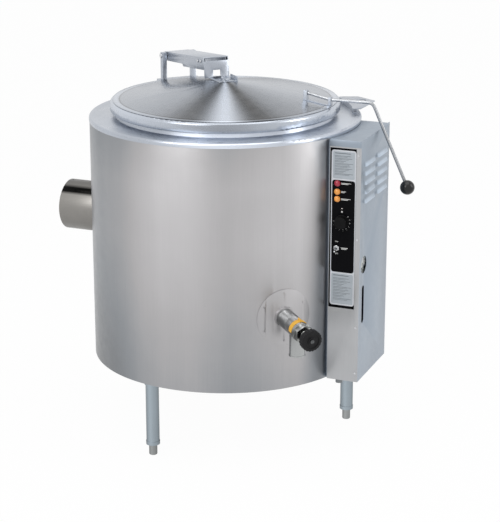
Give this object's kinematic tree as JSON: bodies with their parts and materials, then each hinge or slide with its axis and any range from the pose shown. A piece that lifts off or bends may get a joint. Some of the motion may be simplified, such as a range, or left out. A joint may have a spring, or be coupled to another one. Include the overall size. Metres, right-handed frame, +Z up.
{
  "type": "steam jacketed kettle",
  "caption": "Gas heated steam jacketed kettle on legs with a hinged conical cover, lever with ball, draw-off valve, flue collar and a side control console",
  "frame": {"origin": "floor point on the kettle's own vertical axis, between the three feet", "axes": "+Z up, -Y towards the draw-off valve, +Y towards the cover hinge, +X to the right"},
  "size_m": [0.9143, 1.0818, 1.1835],
  "materials": {
    "casing_steel": "vertical brushed stainless sheet",
    "deck_steel": "brushed stainless sheet",
    "vessel_steel": "polished stainless",
    "cover_steel": "radially brushed stainless",
    "console_steel": "brushed stainless sheet",
    "bracket_steel": "stainless plate",
    "leg_steel": "brushed stainless tube",
    "frame_steel": "mill finish plate",
    "chamber_steel": "heat resisting sheet",
    "chrome_trim": "bright chrome",
    "burner_iron": "cast iron",
    "pipe_steel": "black pipe",
    "brass_parts": "turned brass",
    "dark_handle": "moulded heat resisting plastic",
    "black_ball": "moulded ball",
    "amber_tag": "amber band",
    "black_panel": "black faced plate",
    "silver_label": "thin plate",
    "red_lamp": "lamp lens",
    "amber_lamp": "lamp lens",
    "black_knob": "moulded knob",
    "switch_metal": "plated toggle",
    "module_plastic": "moulded case",
    "gauge_white": "dial face",
    "pointer_black": "painted needle",
    "clear_glass": "clear",
    "mineral_wool": "mineral wool blanket"
  },
  "bodies": {
    "kettle": {"casing_shell": "casing_steel", "top_deck": "deck_steel", "base_frame": "frame_steel", "kettle_liner": "vessel_steel", "jacket_shell": "chamber_steel", "combustion_chamber": "chamber_steel", "insulation_wrap": "mineral_wool", "flue_collar": "chamber_steel", "burner_tubes": "burner_iron", "gas_manifold": "pipe_steel", "draw_off_tube": "vessel_steel", "tag_band": "amber_tag", "draw_off_escutcheon": "casing_steel", "valve_body": "vessel_steel", "valve_bonnet": "chrome_trim", "outlet_strainer": "vessel_steel", "leg_front_left": "leg_steel", "leg_front_right": "leg_steel", "leg_rear": "leg_steel", "hinge_bracket": "bracket_steel", "hinge_pin": "chrome_trim", "console_housing": "console_steel", "console_front_panel": "console_steel", "panel_screws": "chrome_trim", "control_panel": "black_panel", "label_plates": "silver_label", "lamp_red": "red_lamp", "lamps_amber": "amber_lamp", "thermostat_body": "module_plastic", "switch_body": "switch_metal", "gauge_case": "gauge_white", "gauge_lens": "clear_glass", "sight_glass_tube": "clear_glass", "sight_glass_fittings": "brass_parts", "console_back_plate": "chamber_steel", "ignition_module": "module_plastic", "gas_valve_body": "brass_parts", "gas_inlet_pipe": "pipe_steel", "faucet_bracket": "bracket_steel", "safety_valve_body": "brass_parts"},
    "foot_left_body": {"foot_front_left": "frame_steel"},
    "foot_right_body": {"foot_front_right": "frame_steel"},
    "foot_rear_body": {"foot_rear": "frame_steel"},
    "cover": {"cover_shell": "cover_steel", "cover_arm": "bracket_steel", "arm_inner_channel": "bracket_steel", "arm_bolts": "chrome_trim", "cover_clamp_bracket": "bracket_steel", "lever_rod": "chrome_trim", "lever_ball": "black_ball", "lever_mounts": "bracket_steel"},
    "stem": {"valve_stem": "vessel_steel"},
    "wheel": {"handwheel": "dark_handle", "handwheel_screw": "chrome_trim"},
    "thermostat": {"thermostat_knob": "black_knob"},
    "toggle": {"switch_toggle": "switch_metal"},
    "needle": {"gauge_pointer": "pointer_black"},
    "gas_tap": {"gas_valve_knob": "black_knob"},
    "relief": {"safety_valve_lever": "leg_steel"}
  },
  "joints": [
    {"name": "foot_left_level", "type": "slide", "parent": "kettle", "child": "foot_left_body", "axis": [0, 0, -1], "range_m": [0, 0.025]},
    {"name": "foot_right_level", "type": "slide", "parent": "kettle", "child": "foot_right_body", "axis": [0, 0, -1], "range_m": [0, 0.025]},
    {"name": "foot_rear_level", "type": "slide", "parent": "kettle", "child": "foot_rear_body", "axis": [0, 0, -1], "range_m": [0, 0.025]},
    {"name": "cover_hinge", "type": "hinge", "parent": "kettle", "child": "cover", "pos_m": [0, 0.375, 1.14], "axis": [-1, 0, 0], "range_deg": [0, 95]},
    {"name": "stem_lift", "type": "slide", "parent": "kettle", "child": "stem", "axis": [0, -0.9945, -0.1045], "range_m": [0, 0.03]},
    {"name": "handwheel_turn", "type": "hinge", "parent": "stem", "child": "wheel", "pos_m": [0, -0.59407, 0.45623], "axis": [0, -0.9945, -0.1045], "range_deg": [0, 2160]},
    {"name": "thermostat_turn", "type": "hinge", "parent": "kettle", "child": "thermostat", "pos_m": [0.18776, -0.43009, 0.7507], "axis": [-0.7314, -0.682, 0], "range_deg": [0, 300]},
    {"name": "toggle_flip", "type": "hinge", "parent": "kettle", "child": "toggle", "pos_m": [0.18005, -0.41595, 0.6667], "axis": [-0.682, 0.7314, 0], "range_deg": [0, 28]},
    {"name": "needle_turn", "type": "hinge", "parent": "kettle", "child": "needle", "pos_m": [0.25343, -0.44186, 0.611], "axis": [-0.682, 0.7314, 0], "range_deg": [0, 270], "stiffness_Nm_per_rad": 0.0005},
    {"name": "gas_tap_turn", "type": "hinge", "parent": "kettle", "child": "gas_tap", "pos_m": [0.28291, -0.34737, 0.34], "axis": [0, 0, 1], "range_deg": [0, 90]},
    {"name": "relief_lift", "type": "hinge", "parent": "kettle", "child": "relief", "pos_m": [0.226, 0.39144, 0.943], "axis": [0.866, -0.5, 0], "range_deg": [0, 28], "stiffness_Nm_per_rad": 0.5}
  ],
  "couplings": [
    {"joint": "handwheel_turn", "follows": "stem_lift", "rad_per_m": 1256.6}
  ]
}
